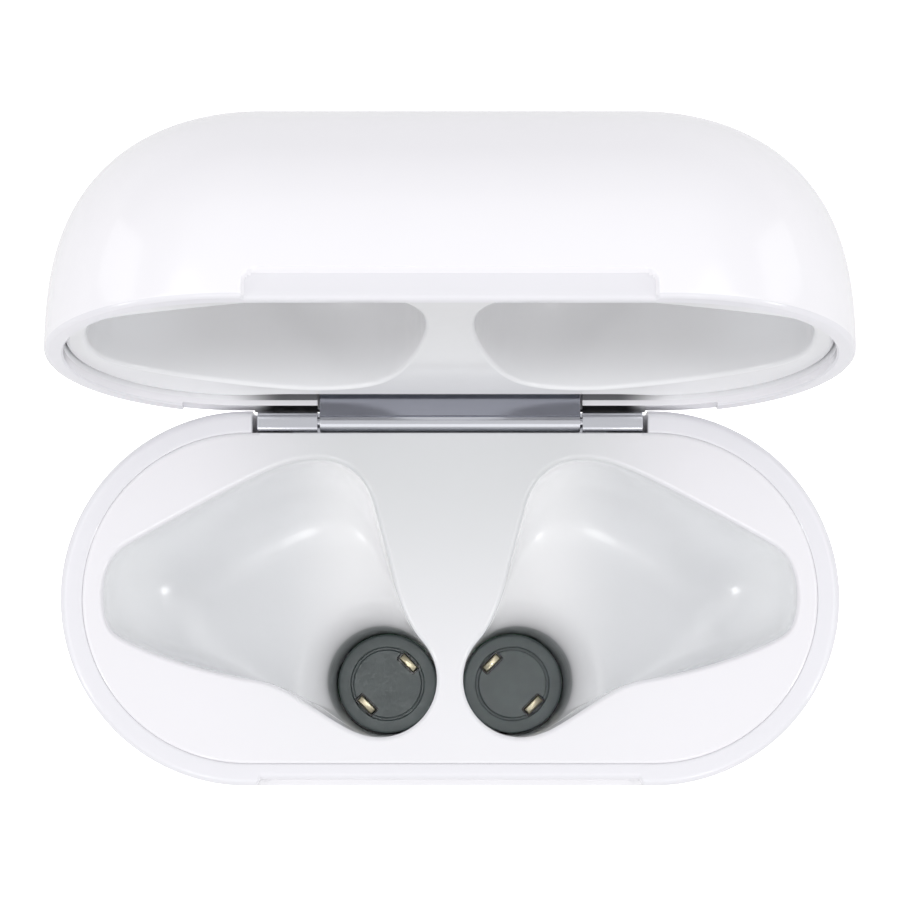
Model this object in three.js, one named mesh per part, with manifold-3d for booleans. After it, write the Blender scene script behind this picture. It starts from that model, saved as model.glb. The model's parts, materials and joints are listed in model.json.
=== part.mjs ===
// A charging case for two wireless earbuds, with its lid standing open.
// Millimetres, +Z up. The origin is the centre of the deck between the two wells, in the plane of the seam:
// +X is the case's right, -Y its front (thumb recess and status light), +Y its back (hinge and pairing button).
import * as THREE from "three";
import { mergeVertices } from "three/addons/utils/BufferGeometryUtils.js";
import Module from "manifold-3d";

const wasm = await Module();
wasm.setup();

// ---- Driving dimensions ------------------------------------------------------------------------------------
const CASE_WIDTH = 44.3;
const CASE_DEPTH = 21.3;
const CASE_HEIGHT = 53.5; // closed
const LID_TOP = 13.3; // top of the closed lid above the seam
const SEAM_GAP = 0.2; // between the base's rim and the closed lid's rim
const WALL = 1.4; // base shell
const LID_WALL = 1.05;
const RIM_ROUND = 0.45; // rounding of the base rim's outer edge
const LID_RIM_ROUND = 0.3;
const OPEN_ANGLE = THREE.MathUtils.degToRad(102.2);

const HALF_W = CASE_WIDTH / 2;
const HALF_D = CASE_DEPTH / 2;
const FLOOR_Z = LID_TOP - CASE_HEIGHT; // the underside of the base

// Corner curves seen from the front: a straight wall, then a superellipse to a flat end.
const BASE_END = { straight: -27, pole: FLOOR_Z, halfWidth: 11.85, halfDepth: 3.6, power: 2.4 };
const LID_END = { straight: SEAM_GAP + LID_RIM_ROUND, pole: LID_TOP, halfWidth: 9.9, halfDepth: 0.6, power: 2.6 };

// Hinge: knuckles of one diameter on a pin along X.
const HINGE_Y = 10.03;
const HINGE_Z = -0.45;
const KNUCKLE_R = 0.56;
const PIN_R = 0.27;
const BORE_R = 0.33;
const LEAF_HALF_LENGTH = 7.42; // the lid's central knuckle
const BRACKET_HALF_LENGTH = 10.97; // out to the ends of the base's side knuckles
const NOTCH_HALF_LENGTH = 11.25; // the slot for them in the base shell
const NOTCH_DEPTH = 3.6;
const RELIEF_HALF_LENGTH = 15.2; // the stretch of the lid's back rim that is cut back
const RELIEF_DEPTH = 0.2;

// Wells for the buds: a scoop for the head that runs into a straight tube for the stem.
const STEM = { x: 4, y: -4.64, r: 3.26 };
const STEM_BOTTOM = -29;
const SCOOP_DEPTH = 9;
const MOUTH_ROUND = 1.2; // where the scoop's floor turns down into the tube
const WELL_WALL = 0.85;
const LIP_ROUND = 0.3;
const INSERT_GAP = 0.1; // between the inserts and the shells
const DECK = 1.2; // thickness of the deck
const LINER_FACE = SEAM_GAP + 0.7; // the lid liner's face when closed
const POCKET_DEPTH = 9.4; // hollows for the heads in the lid liner

const BUTTON = { r: 2.7, z: -13.6, clearance: 0.1, proud: 0.05 };
const LIGHT = { r: 0.6, z: -8.5 };
const PORT = { halfWidth: 4.5, halfDepth: 1.65 };
const RECESS = { halfWidth: 10.95, bottom: -1.5, top: 1.85, depth: 0.35, corner: 0.9 };
const BOARD = { top: -32.5, thickness: 0.8 };

const ARC_STEPS = 16; // facets on each half-round end of a stadium outline
const CURVE_STEPS = 7; // rings on a shell's end curve

// ---- Materials ---------------------------------------------------------------------------------------------
const finish = (color, roughness, metalness = 0) =>
  new THREE.MeshStandardMaterial({ color, roughness, metalness });
const whiteGloss = finish(0xf4f3f6, 0.12);
const steel = finish(0xb4b6bc, 0.22, 1);
const gold = finish(0xc8b070, 0.3, 1);
const slatePlastic = finish(0x57605f, 0.45);
const magnetNickel = finish(0x9a9ca0, 0.35, 1);
const boardGreen = finish(0x1f4a38, 0.5);
const chipBlack = finish(0x16171a, 0.4);
const pouchSilver = finish(0x9fa3a8, 0.35, 0.6);
const copper = finish(0xb87333, 0.35, 1);
const ferriteGrey = finish(0x2b2c2f, 0.7);
const foamBlack = finish(0x1c1c1e, 0.95);
const flexAmber = finish(0xa8691e, 0.45);
const clearPlastic = finish(0xe9ecef, 0.15);

// ---- Solids ------------------------------------------------------------------------------------------------
// Drops attributes that split vertices, then merges them, so that the faces share their edges.
function closed(geometry) {
  const bare = geometry.clone();
  bare.deleteAttribute("normal");
  bare.deleteAttribute("uv");
  const merged = mergeVertices(bare, 1e-4);
  const kept = [];
  const index = merged.index.array;
  for (let i = 0; i < index.length; i += 3) {
    const [a, b, c] = index.subarray(i, i + 3);
    if (a !== b && b !== c && c !== a) kept.push(a, b, c);
  }
  return merged.setIndex(kept);
}

function solid(geometry) {
  const body = closed(geometry);
  const vertProperties = new Float32Array(body.attributes.position.array);
  const triVerts = new Uint32Array(body.index.array);
  return new wasm.Manifold(new wasm.Mesh({ numProp: 3, vertProperties, triVerts }));
}

function geometryOf(manifold) {
  const { vertProperties, triVerts } = manifold.getMesh();
  return new THREE.BufferGeometry()
    .setAttribute("position", new THREE.BufferAttribute(new Float32Array(vertProperties), 3))
    .setIndex(new THREE.BufferAttribute(new Uint32Array(triVerts), 1));
}

const join = (first, ...rest) => rest.reduce((sum, next) => sum.add(next), first);
const cut = (first, ...rest) => rest.reduce((left, tool) => left.subtract(tool), first);

// A closed body through rings of equal length, each counterclockwise from above, with flat first and last rings.
function skin(rings) {
  const count = rings[0].length;
  const at = (ring, point) => ring * count + (point % count);
  const index = [];
  for (let ring = 0; ring < rings.length - 1; ring++)
    for (let i = 0; i < count; i++) {
      index.push(at(ring, i), at(ring, i + 1), at(ring + 1, i + 1));
      index.push(at(ring, i), at(ring + 1, i + 1), at(ring + 1, i));
    }
  const last = rings.length - 1;
  for (const [a, b, c] of THREE.ShapeUtils.triangulateShape(rings[0], []))
    index.push(at(0, a), at(0, c), at(0, b));
  for (const [a, b, c] of THREE.ShapeUtils.triangulateShape(rings[last], []))
    index.push(at(last, a), at(last, b), at(last, c));
  return new THREE.BufferGeometry().setFromPoints(rings.flat()).setIndex(index);
}

// A stadium outline at one height: two half-round ends joined by straight sides.
function stadium(halfWidth, halfDepth, z) {
  const straight = halfWidth - halfDepth;
  const ring = [];
  for (const side of [1, -1])
    for (let i = 0; i <= ARC_STEPS; i++) {
      const angle = Math.PI * (i / ARC_STEPS - 0.5) + (side < 0 ? Math.PI : 0);
      const x = side * straight + halfDepth * Math.cos(angle);
      ring.push(new THREE.Vector3(x, halfDepth * Math.sin(angle), z));
    }
  return ring;
}

const inset = (amount, z) => stadium(HALF_W - amount, HALF_D - amount, z);

// A quarter of a superellipse: [run, rise] from (1, 0) to (0, 1).
function quarter(steps, power) {
  return Array.from({ length: steps + 1 }, (_, i) => {
    const angle = (i / steps) * (Math.PI / 2);
    return [Math.cos(angle) ** (2 / power), Math.sin(angle) ** (2 / power)];
  });
}

// Rings of a shell's curved end, from the straight wall to the pole, at a depth below its outer surface.
function endRings({ straight, pole, halfWidth, halfDepth, power }, depth) {
  const rise = pole - straight - Math.sign(pole - straight) * depth;
  return quarter(CURVE_STEPS, power).map(([c, s]) =>
    stadium(
      halfWidth + (HALF_W - depth - halfWidth) * c,
      halfDepth + (HALF_D - depth - halfDepth) * c,
      straight + rise * s,
    ),
  );
}

const box = (x0, x1, y0, y1, z0, z1) =>
  new THREE.BoxGeometry(x1 - x0, y1 - y0, z1 - z0).translate(
    (x0 + x1) / 2,
    (y0 + y1) / 2,
    (z0 + z1) / 2,
  );

const rodAlongX = (radius, x0, x1, steps = 20) =>
  new THREE.CylinderGeometry(radius, radius, x1 - x0, steps)
    .rotateZ(Math.PI / 2)
    .translate((x0 + x1) / 2, 0, 0);

const discAlongY = (radius, y0, y1, steps = 28) =>
  new THREE.CylinderGeometry(radius, radius, y1 - y0, steps).translate(0, (y0 + y1) / 2, 0);

const discAlongZ = (radius, z0, z1, steps = 32) =>
  new THREE.CylinderGeometry(radius, radius, z1 - z0, steps)
    .rotateX(Math.PI / 2)
    .translate(0, 0, (z0 + z1) / 2);

function roundedRectangle(halfWidth, halfHeight, corner) {
  const [x, y, r] = [halfWidth, halfHeight, corner];
  return new THREE.Shape()
    .moveTo(x, -y + r)
    .absarc(x - r, y - r, r, 0, Math.PI / 2)
    .absarc(-x + r, y - r, r, Math.PI / 2, Math.PI)
    .absarc(-x + r, -y + r, r, Math.PI, Math.PI * 1.5)
    .absarc(x - r, -y + r, r, Math.PI * 1.5, Math.PI * 2);
}

// Sweeps a profile drawn in (y, z) along X, the same distance either side of the middle.
const profileAlongX = (shape, halfLength) =>
  extrude(shape, 2 * halfLength)
    .rotateY(Math.PI / 2)
    .rotateX(Math.PI / 2)
    .translate(-halfLength, 0, 0);

const extrude = (shape, depth, curveSegments = 5) =>
  new THREE.ExtrudeGeometry(shape, { depth, bevelEnabled: false, curveSegments });

// ---- Outer shells ------------------------------------------------------------------------------------------
const RIM_STEPS = quarter(3, 2); // a round edge

// The thumb recess: a shallow pocket in the front walls, half in the lid and half in the base.
const recess = () =>
  solid(
    extrude(roundedRectangle(RECESS.halfWidth, (RECESS.top - RECESS.bottom) / 2, RECESS.corner), 2)
      .rotateX(Math.PI / 2)
      .translate(0, -HALF_D + RECESS.depth, (RECESS.top + RECESS.bottom) / 2),
  );

function baseShell() {
  const outer = endRings(BASE_END, 0).reverse();
  const rim = RIM_STEPS.map(([c, s]) => inset(RIM_ROUND * (1 - c), RIM_ROUND * (s - 1)));
  const inner = endRings(BASE_END, WALL);
  const cup = solid(skin([...outer, ...rim, inset(WALL - 0.1, 0), inset(WALL, -0.1), ...inner]));
  const notch = box(
    -NOTCH_HALF_LENGTH,
    NOTCH_HALF_LENGTH,
    HALF_D - WALL - 0.5,
    HALF_D + 1,
    -NOTCH_DEPTH,
    1,
  );
  const buttonHole = discAlongY(BUTTON.r + BUTTON.clearance, HALF_D - 3, HALF_D + 1).translate(
    0,
    0,
    BUTTON.z,
  );
  const lightHole = discAlongY(LIGHT.r, -HALF_D - 1, -HALF_D + 3, 16).translate(0, 0, LIGHT.z);
  const port = extrude(
    roundedRectangle(PORT.halfWidth + 0.4, PORT.halfDepth + 0.4, PORT.halfDepth + 0.39),
    4,
  ).translate(0, 0, FLOOR_Z - 1);
  return geometryOf(cut(cup, ...[notch, buttonHole, lightHole, port].map(solid), recess()));
}

// The shallow cut in the lid's back rim that clears the base's back edge as the lid opens.
function hingeRelief() {
  const half = RELIEF_HALF_LENGTH;
  return solid(box(-half, half, HALF_D - 3, HALF_D + 1, -1, SEAM_GAP + RELIEF_DEPTH));
}

function lidShell() {
  const inner = endRings(LID_END, LID_WALL).reverse();
  const edge = [inset(LID_WALL, SEAM_GAP + 0.1), inset(LID_WALL - 0.1, SEAM_GAP)];
  const rim = RIM_STEPS.map(([c, s]) =>
    inset(LID_RIM_ROUND * (1 - s), SEAM_GAP + LID_RIM_ROUND * (1 - c)),
  );
  const cup = solid(skin([...inner, ...edge, ...rim, ...endRings(LID_END, 0)]));
  const slotHalf = LEAF_HALF_LENGTH + 0.3;
  const leafSlot = box(-slotHalf, slotHalf, HALF_D - 3, HINGE_Y + 0.1, -1, LEAF_TOP + 0.3);
  return geometryOf(cut(cup, solid(leafSlot), hingeRelief(), recess()));
}

// ---- The insert with its two wells -------------------------------------------------------------------------
// The mouth of the right-hand well, from the foot of the scoop round its outer end and back to the stem's tube.
function scoopMouth() {
  return new THREE.Path()
    .moveTo(5.5, -7.55)
    .bezierCurveTo(7.46, -6.55, 9.3, -4.87, 10.9, -4.65)
    .bezierCurveTo(13.6, -4.3, 16.9, -3.4, 19.05, -2.05)
    .bezierCurveTo(19.6, -1.7, 19.8, 1.75, 19.35, 2.1)
    .bezierCurveTo(18.7, 2.9, 12.9, 6.2, 10.3, 7.24)
    .bezierCurveTo(8.6, 7.9, 5.5, 8.6, 4.75, 6.4)
    .bezierCurveTo(4.1, 4.9, 3.9, 2.9, 3.12, 0.7)
    .bezierCurveTo(2.8, -0.3, 2.3, -1.6, 1.7, -2.33);
}

const FOOT_ANGLE = -1.1; // where the scoop leaves the tube's circle, and where it comes back
const RETURN_ANGLE = 2.36;
const SCOOP_POINTS = 26;
const TUBE_POINTS = 12;

// Pairs of points, one on the well's mouth and one on the tube's circle below it.
function wellPairs() {
  const circle = (angle) =>
    new THREE.Vector2(STEM.x + STEM.r * Math.cos(angle), STEM.y + STEM.r * Math.sin(angle));
  const mouth = scoopMouth().getSpacedPoints(SCOOP_POINTS);
  const pairs = mouth.map((point, i) => {
    const angle = FOOT_ANGLE + ((RETURN_ANGLE - FOOT_ANGLE) * i) / SCOOP_POINTS;
    return { mouth: point, tube: circle(angle) };
  });
  for (let i = 1; i < TUBE_POINTS; i++) {
    const angle = RETURN_ANGLE + ((FOOT_ANGLE + 2 * Math.PI - RETURN_ANGLE) * i) / TUBE_POINTS;
    pairs.push({ mouth: circle(angle), tube: circle(angle) });
  }
  return pairs;
}

// The scoop's wall and floor between mouth and tube: [share of the way in, share of the depth].
const SCOOP_STEPS = quarter(6, 2.6).map(([c, s]) => [1 - c, s]);

// The well as a solid plug, grown by `wall` all round, from `bottom` up to `top`.
function wellPlug(side, wall, bottom, top) {
  const pairs = wellPairs();
  const grown = pairs.map(({ mouth, tube }, i) => {
    const before = pairs[(i + pairs.length - 1) % pairs.length].mouth;
    const after = pairs[(i + 1) % pairs.length].mouth;
    const outwards = new THREE.Vector2(after.y - before.y, before.x - after.x).normalize();
    const fromStem = tube.clone().sub(new THREE.Vector2(STEM.x, STEM.y)).normalize();
    return {
      mouth: mouth.clone().addScaledVector(outwards, wall),
      tube: tube.clone().addScaledVector(fromStem, wall),
    };
  });
  const ring = (share, z, drop = 0) => {
    const points = grown.map(({ mouth, tube }) => {
      const run = Math.max(mouth.distanceTo(tube), 1e-6);
      const reach = Math.min(1, MOUTH_ROUND / run);
      const point = mouth.clone().lerp(tube, share * (1 - reach * (1 - drop)));
      return new THREE.Vector3(side * point.x, point.y, z);
    });
    return side > 0 ? points : points.reverse();
  };
  const depth = SCOOP_DEPTH + wall;
  const throat = [1, 0.5, 0].map((share) => ring(1, -depth - MOUTH_ROUND * share * share, share));
  const bowl = SCOOP_STEPS.toReversed().map(([share, fall]) => ring(share, -depth * fall));
  return solid(skin([ring(1, bottom, 1), ...throat.slice(0, 2), ...bowl, ring(0, top)]));
}

function baseInsert() {
  const reach = WALL + INSERT_GAP;
  const skirtDepth = 6;
  const deck = skin([
    inset(reach, -DECK),
    inset(reach, -LIP_ROUND),
    inset(reach + LIP_ROUND * 0.3, -LIP_ROUND * 0.3),
    inset(reach + LIP_ROUND, 0),
  ]);
  const skirt = cut(
    solid(skin([inset(reach, -skirtDepth), inset(reach, -DECK / 2)])),
    solid(skin([inset(reach + 0.8, -skirtDepth - 1), inset(reach + 0.8, -DECK / 2 + 0.1)])),
    solid(box(-NOTCH_HALF_LENGTH, NOTCH_HALF_LENGTH, 0, HALF_D, -skirtDepth - 1, -DECK)),
  );
  const cups = [1, -1].map((side) => wellPlug(side, WELL_WALL, STEM_BOTTOM - 2.3, -DECK / 2));
  const hollows = [1, -1].map((side) => wellPlug(side, 0, STEM_BOTTOM - 3, 1));
  const keepIn = solid(skin([inset(reach, STEM_BOTTOM - 4), inset(reach, 2)]));
  const tongueHalf = BRACKET_HALF_LENGTH - 0.1;
  const tongueBack = HINGE_Y - KNUCKLE_R - 0.1;
  const tongue = box(-tongueHalf, tongueHalf, HALF_D - reach - 0.4, tongueBack, -DECK, 0);
  const body = join(join(solid(deck), skirt, ...cups).intersect(keepIn), solid(tongue));
  return geometryOf(cut(body, ...hollows));
}

// ---- The lid's liner with its two pockets ------------------------------------------------------------------
function pocketMouth() {
  return new THREE.Path()
    .moveTo(4.4, -8.35)
    .bezierCurveTo(7.5, -8.6, 13, -6.7, 16.8, -5.36)
    .bezierCurveTo(19.3, -4.4, 19.75, -3.6, 19.75, -1)
    .bezierCurveTo(19.75, 1.4, 19.3, 2.4, 18.03, 3.57)
    .bezierCurveTo(16, 5.3, 11.5, 7.3, 9.6, 7.75)
    .bezierCurveTo(7.6, 8.3, 5.2, 8.3, 3.85, 6.69)
    .bezierCurveTo(2.6, 5, 1.6, 0.6, 1.35, -2.4)
    .bezierCurveTo(1.2, -5.2, 1.6, -7.9, 4.4, -8.35);
}

const POCKET_CENTRE = new THREE.Vector2(9.5, -0.3);

function pocketPlug(side, wall, faceZ) {
  const mouth = pocketMouth().getSpacedPoints(28).slice(0, -1);
  const ring = (share, z) => {
    const points = mouth.map((point) => {
      const spoke = point.clone().sub(POCKET_CENTRE);
      const reach = spoke.length() * share + wall;
      const placed = POCKET_CENTRE.clone().addScaledVector(spoke.normalize(), reach);
      return new THREE.Vector3(side * placed.x, placed.y, z);
    });
    return side > 0 ? points : points.reverse();
  };
  const dome = quarter(6, 2.6).slice(0, -1);
  const rings = dome.map(([c, s]) => ring(c, LINER_FACE + (POCKET_DEPTH + wall) * s));
  return solid(skin([ring(1, faceZ), ...rings.slice(1), ring(0.12, LINER_FACE + POCKET_DEPTH + wall)]));
}

function lidLiner() {
  const reach = LID_WALL + INSERT_GAP;
  const plate = skin([
    inset(reach + LIP_ROUND, LINER_FACE),
    inset(reach, LINER_FACE + LIP_ROUND),
    inset(reach, LINER_FACE + 1),
  ]);
  const cups = [1, -1].map((side) => pocketPlug(side, 0.8, LINER_FACE + 0.5));
  const hollows = [1, -1].map((side) => pocketPlug(side, 0, LINER_FACE - 1));
  const room = solid(
    skin([inset(reach, LINER_FACE), ...endRings(LID_END, reach)]),
  );
  return geometryOf(cut(join(solid(plate), ...cups).intersect(room), ...hollows));
}

// ---- Hinge -------------------------------------------------------------------------------------------------
const LEAF_THICKNESS = 0.5;
const LEAF_TOP = 5.2;

// In the hinge's own frame: the pin's axis is the X axis.
function baseBracket() {
  const front = -KNUCKLE_R;
  const foot = -NOTCH_DEPTH + 0.15 - HINGE_Z;
  const profile = new THREE.Shape()
    .moveTo(KNUCKLE_R, foot)
    .absarc(0, 0, KNUCKLE_R, 0, Math.PI)
    .lineTo(front, foot)
    .closePath();
  const bar = solid(profileAlongX(profile, BRACKET_HALF_LENGTH));
  const channelHalf = LEAF_HALF_LENGTH + 0.13;
  const channelFloor = -KNUCKLE_R - 0.12;
  const channel = box(-channelHalf, channelHalf, -3, 3, channelFloor, 3);
  const bore = rodAlongX(BORE_R, -20, 20);
  const bridge = box(-9, 9, front - 0.5, front + 0.2, foot, channelFloor - 0.25);
  const tail = box(-9, 9, front - 0.5, front - 0.25, foot - 5.5, channelFloor - 0.25);
  return geometryOf(cut(join(bar, solid(bridge), solid(tail)), solid(channel), solid(bore)));
}

function lidLeaf() {
  const half = LEAF_HALF_LENGTH;
  const knuckle = rodAlongX(KNUCKLE_R, -half, half, 24);
  const plate = box(
    -half,
    half,
    -KNUCKLE_R,
    -KNUCKLE_R + LEAF_THICKNESS,
    0,
    LEAF_TOP - HINGE_Z,
  );
  return geometryOf(cut(join(solid(knuckle), solid(plate)), solid(rodAlongX(BORE_R, -20, 20))));
}

// ---- Charging contacts -------------------------------------------------------------------------------------
const CONTACT = { radius: 1.9, length: 1.3, width: 0.5, proud: 0.35, foot: STEM_BOTTOM - 1.2 };
const FLEX_TOP = STEM_BOTTOM - 2.4;
const CONTACT_ANGLES = { inner: THREE.MathUtils.degToRad(135), outer: THREE.MathUtils.degToRad(-45) };

// Turns a shape drawn about the Z axis, with X as its radial direction, into its place in the stem's tube.
const atContact = (geometry, side, angle) =>
  geometry
    .translate(CONTACT.radius, 0, 0)
    .rotateZ(side > 0 ? angle : Math.PI - angle)
    .translate(side * STEM.x, STEM.y, 0);

function contactBlock(side, angle, growth, z0, z1) {
  const halfLength = CONTACT.length / 2 + growth;
  const halfWidth = CONTACT.width / 2 + growth;
  return atContact(box(-halfWidth, halfWidth, -halfLength, halfLength, z0, z1), side, angle);
}

function contactCarrier(side) {
  const place = (geometry) => geometry.translate(side * STEM.x, STEM.y, 0);
  const [top, bottom] = [STEM_BOTTOM, STEM_BOTTOM - 2.2];
  const disc = solid(place(discAlongZ(STEM.r - 0.12, bottom, top)));
  const groove = cut(
    solid(place(discAlongZ(2.35, top - 0.15, top + 1))),
    solid(place(discAlongZ(2.15, top - 1, top + 2))),
  );
  const slots = Object.values(CONTACT_ANGLES).map((angle) =>
    solid(contactBlock(side, angle, 0.1, bottom - 1, top + 1)),
  );
  return geometryOf(cut(disc, groove, ...slots));
}

const contactBlade = (side, angle) =>
  contactBlock(side, angle, 0, CONTACT.foot, STEM_BOTTOM + CONTACT.proud);

// A folded strip that pushes its contact up against the bud's stem.
function contactSpring(side, angle) {
  const [bottom, top] = [FLEX_TOP + 0.1, CONTACT.foot - 0.1];
  const [folds, reach, halfThickness] = [4, 0.4, 0.2]; // the thickness is measured level, along the fold
  const foldAt = (i, offset) =>
    new THREE.Vector2((i % 2 ? reach : -reach) + offset, bottom + ((top - bottom) * i) / folds);
  const steps = Array.from({ length: folds + 1 }, (_, i) => i);
  const right = steps.map((i) => foldAt(i, halfThickness));
  const left = steps.map((i) => foldAt(i, -halfThickness)).reverse();
  return atContact(profileAlongX(new THREE.Shape([...right, ...left]), 0.2), side, angle);
}

// ---- Electronics -------------------------------------------------------------------------------------------
function chargePortShell() {
  const outer = roundedRectangle(PORT.halfWidth, PORT.halfDepth, PORT.halfDepth - 0.01);
  const inner = roundedRectangle(PORT.halfWidth - 0.3, PORT.halfDepth - 0.3, PORT.halfDepth - 0.31);
  const [mouth, back] = [FLOOR_Z + 0.6, BOARD.top - BOARD.thickness - 0.1];
  const can = solid(extrude(outer, back - mouth, 6).translate(0, 0, mouth));
  const hollow = solid(extrude(inner, back - mouth - 0.4, 6).translate(0, 0, mouth - 0.1));
  return geometryOf(cut(can, hollow));
}

function portTrim() {
  const outer = roundedRectangle(PORT.halfWidth + 0.3, PORT.halfDepth + 0.3, PORT.halfDepth + 0.29);
  const inner = roundedRectangle(PORT.halfWidth - 0.2, PORT.halfDepth - 0.2, PORT.halfDepth - 0.21);
  const ring = solid(extrude(outer, 0.45, 6).translate(0, 0, FLOOR_Z + 0.05));
  return geometryOf(cut(ring, solid(extrude(inner, 2, 6).translate(0, 0, FLOOR_Z - 1))));
}

function chargingCoil() {
  const ring = discAlongY(7.5, 8, 8.6, 36);
  return geometryOf(cut(solid(ring), solid(discAlongY(3.8, 7.5, 9.5, 28)))).translate(0, 0, -25.6);
}

// A channel that backs the switch and meets the case's back wall either side of the button.
function buttonBracket() {
  const [outer, inner] = [4.8, 4.4];
  const channel = solid(box(-outer, outer, 6.4, 9, BUTTON.z - 2.1, BUTTON.z + 2.7));
  return geometryOf(cut(channel, solid(box(-inner, inner, 6.8, 10, BUTTON.z - 3, BUTTON.z + 3))));
}

function pairingButton() {
  const cap = discAlongY(BUTTON.r, HALF_D - 1.8, HALF_D - BUTTON.proud);
  const flange = discAlongY(BUTTON.r + 0.6, HALF_D - WALL - 0.9, HALF_D - WALL - 0.4);
  return geometryOf(join(solid(cap), solid(flange))).translate(0, 0, BUTTON.z);
}

// ---- Assembly ----------------------------------------------------------------------------------------------
function part(parent, name, geometry, material) {
  const mesh = new THREE.Mesh(geometry, material);
  mesh.name = name;
  parent.add(mesh);
  return mesh;
}

const caseGroup = new THREE.Group();

part(caseGroup, "base_shell", baseShell(), whiteGloss);
part(caseGroup, "base_insert", baseInsert(), whiteGloss);

// Hinge pieces are modelled about the pin; the lid turns about it too.
const hingeGroup = new THREE.Group();
hingeGroup.position.set(0, HINGE_Y, HINGE_Z);
caseGroup.add(hingeGroup);
part(hingeGroup, "hinge_base_bracket", baseBracket(), steel);
part(hingeGroup, "hinge_pin", rodAlongX(PIN_R, -10.9, 10.9), steel);

const lidGroup = new THREE.Group();
lidGroup.rotation.x = -OPEN_ANGLE;
hingeGroup.add(lidGroup);
part(lidGroup, "hinge_lid_leaf", lidLeaf(), steel);

const lidBody = new THREE.Group(); // the lid's pieces as they stand when it is shut
lidBody.position.set(0, -HINGE_Y, -HINGE_Z);
lidGroup.add(lidBody);
part(lidBody, "lid_shell", lidShell(), whiteGloss);
part(lidBody, "lid_liner", lidLiner(), whiteGloss);

for (const [label, side] of [
  ["left", -1],
  ["right", 1],
]) {
  const lidMagnet = part(
    lidBody,
    `lid_magnet_${label}`,
    new THREE.BoxGeometry(5, 0.9, 2.6),
    magnetNickel,
  );
  lidMagnet.position.set(side * 14.2, -8.05, 3.4);
  lidMagnet.rotation.z = side * 0.3;

  const baseMagnet = part(
    caseGroup,
    `closure_magnet_${label}`,
    new THREE.BoxGeometry(5, 1.5, 3.2),
    magnetNickel,
  );
  baseMagnet.position.set(side * 12.4, -6.75, -3);

  const budMagnet = part(
    caseGroup,
    `bud_magnet_${label}`,
    new THREE.BoxGeometry(6, 5, 2.2),
    magnetNickel,
  );
  budMagnet.position.set(side * 12.5, 2, -11.5);

  part(caseGroup, `contact_carrier_${label}`, contactCarrier(side), slatePlastic);
  for (const [place, angle] of Object.entries(CONTACT_ANGLES)) {
    part(caseGroup, `contact_${label}_${place}`, contactBlade(side, angle), gold);
    part(caseGroup, `contact_spring_${label}_${place}`, contactSpring(side, angle), steel);
  }
}

part(caseGroup, "contact_flex", box(-7, 7, -6.8, -2.6, FLEX_TOP - 0.2, FLEX_TOP), flexAmber);
part(caseGroup, "battery_cell", box(-15, 15, 0.7, 7.3, -30.4, -16), pouchSilver);
part(caseGroup, "battery_foam", box(-10, 10, 1.5, 6.5, -32.2, -30.6), foamBlack);
part(caseGroup, "ferrite_sheet", box(-8.5, 8.5, 7.45, 7.85, -33.9, -17.2), ferriteGrey);
part(caseGroup, "charging_coil", chargingCoil(), copper);

const boardBottom = BOARD.top - BOARD.thickness;
part(caseGroup, "main_board", box(-15, 15, -6.5, 7, boardBottom, BOARD.top), boardGreen);
part(caseGroup, "controller_chip", box(-12.5, -7.5, -2.5, 2.5, boardBottom - 1, boardBottom - 0.05), chipBlack);
part(caseGroup, "charger_chip", box(7.5, 11.5, -2, 2, boardBottom - 1, boardBottom - 0.05), chipBlack);
part(caseGroup, "charge_port_shell", chargePortShell(), steel);
part(
  caseGroup,
  "charge_port_tongue",
  box(-3.1, 3.1, -0.35, 0.35, FLOOR_Z + 1.2, boardBottom - 0.75),
  chipBlack,
);
part(caseGroup, "port_trim_ring", portTrim(), steel);

part(caseGroup, "pairing_button", pairingButton(), whiteGloss);
part(caseGroup, "button_switch", box(-1.6, 1.6, 6.9, 8.05, BUTTON.z - 1.6, BUTTON.z + 1.6), chipBlack);
part(caseGroup, "button_bracket", buttonBracket(), steel);

part(caseGroup, "sensor_flex", box(-1, 1, -8.05, -7.85, BOARD.top + 0.1, -1.6), flexAmber);
part(caseGroup, "status_led", box(-0.8, 0.8, -9.05, -8.15, LIGHT.z - 0.5, LIGHT.z + 0.5), clearPlastic);
part(
  caseGroup,
  "light_pipe",
  discAlongY(LIGHT.r - 0.05, -HALF_D, -HALF_D + WALL, 16).translate(0, 0, LIGHT.z),
  clearPlastic,
);
part(caseGroup, "lid_sensor", box(-0.7, 0.7, -7.8, -7.2, -3.4, -1.8), chipBlack);

export default caseGroup;
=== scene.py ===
"""Looks for a charging case for wireless earbuds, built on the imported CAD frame.

Lengths in the shape code are millimetres in the CAD's own frame; a mesh is scaled to metres as it is made.
"""

import json
import math

import bpy
import numpy as np
from mathutils import Matrix, Vector


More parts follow.
